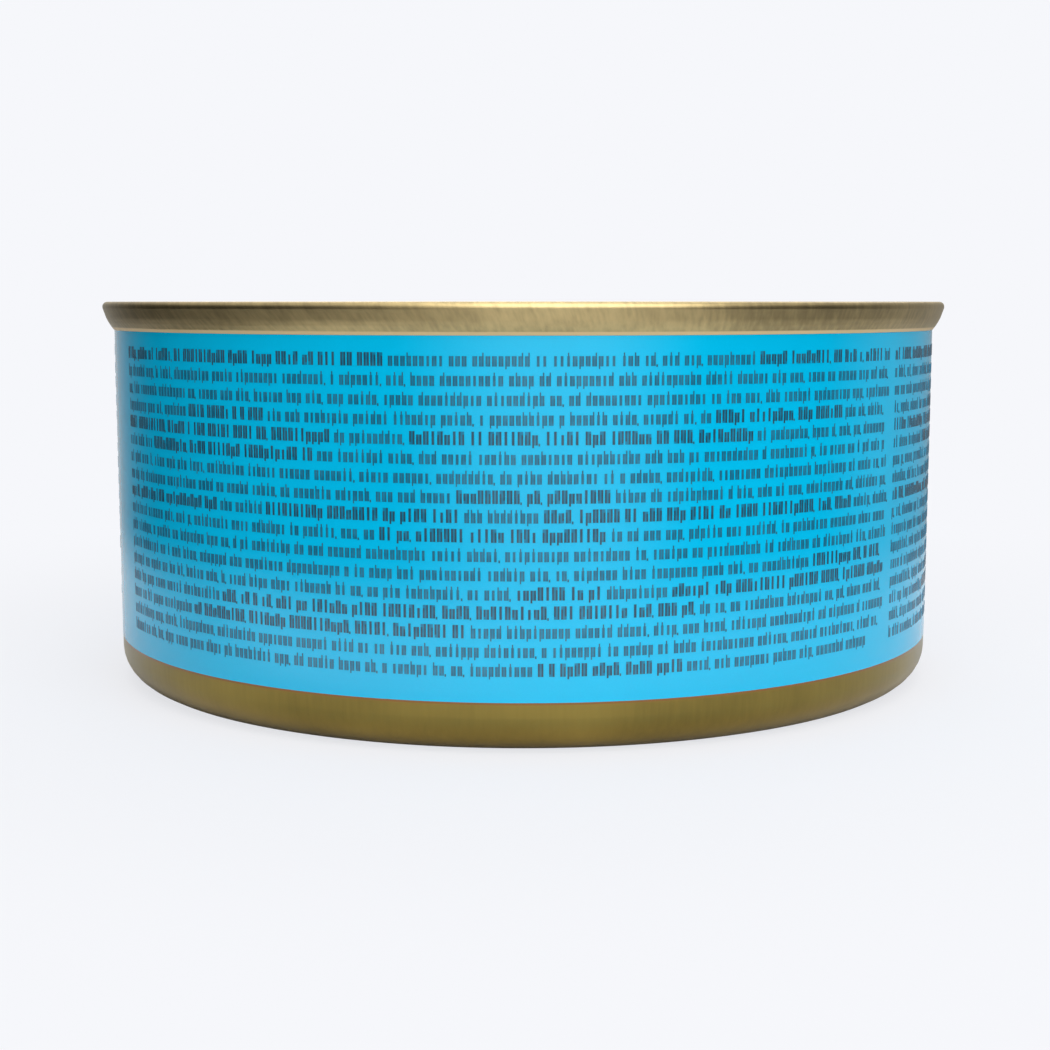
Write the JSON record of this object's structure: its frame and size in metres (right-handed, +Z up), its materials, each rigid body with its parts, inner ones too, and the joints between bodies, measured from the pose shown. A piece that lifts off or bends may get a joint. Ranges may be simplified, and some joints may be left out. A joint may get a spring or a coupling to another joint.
{
  "type": "cat food can",
  "caption": "Low round metal food can, shut and full, with a gold double-seamed rim, a blue printed wall, a gold foot band and a ring-pull lid.",
  "frame": {"origin": "the point on the can's axis in the plane it stands on, under the middle of its foot", "axes": "+Z up along the can's axis; -Y is the side with the middle of the printed panel, and the pull tab's nose points to -Y"},
  "size_m": [0.0863, 0.0862, 0.0381],
  "materials": {
    "printed_body": "satin blue print over gold-lacquered plate",
    "gold_lacquer": "gold-lacquered plate, finely brushed round the can",
    "tab_lacquer": "gold-lacquered stamping with rolled edges",
    "print_ink": "dark blue-grey print under varnish"
  },
  "bodies": {
    "root": {"can_body": "printed_body", "lid": "gold_lacquer", "pull_tab": "tab_lacquer"}
  },
  "joints": []
}
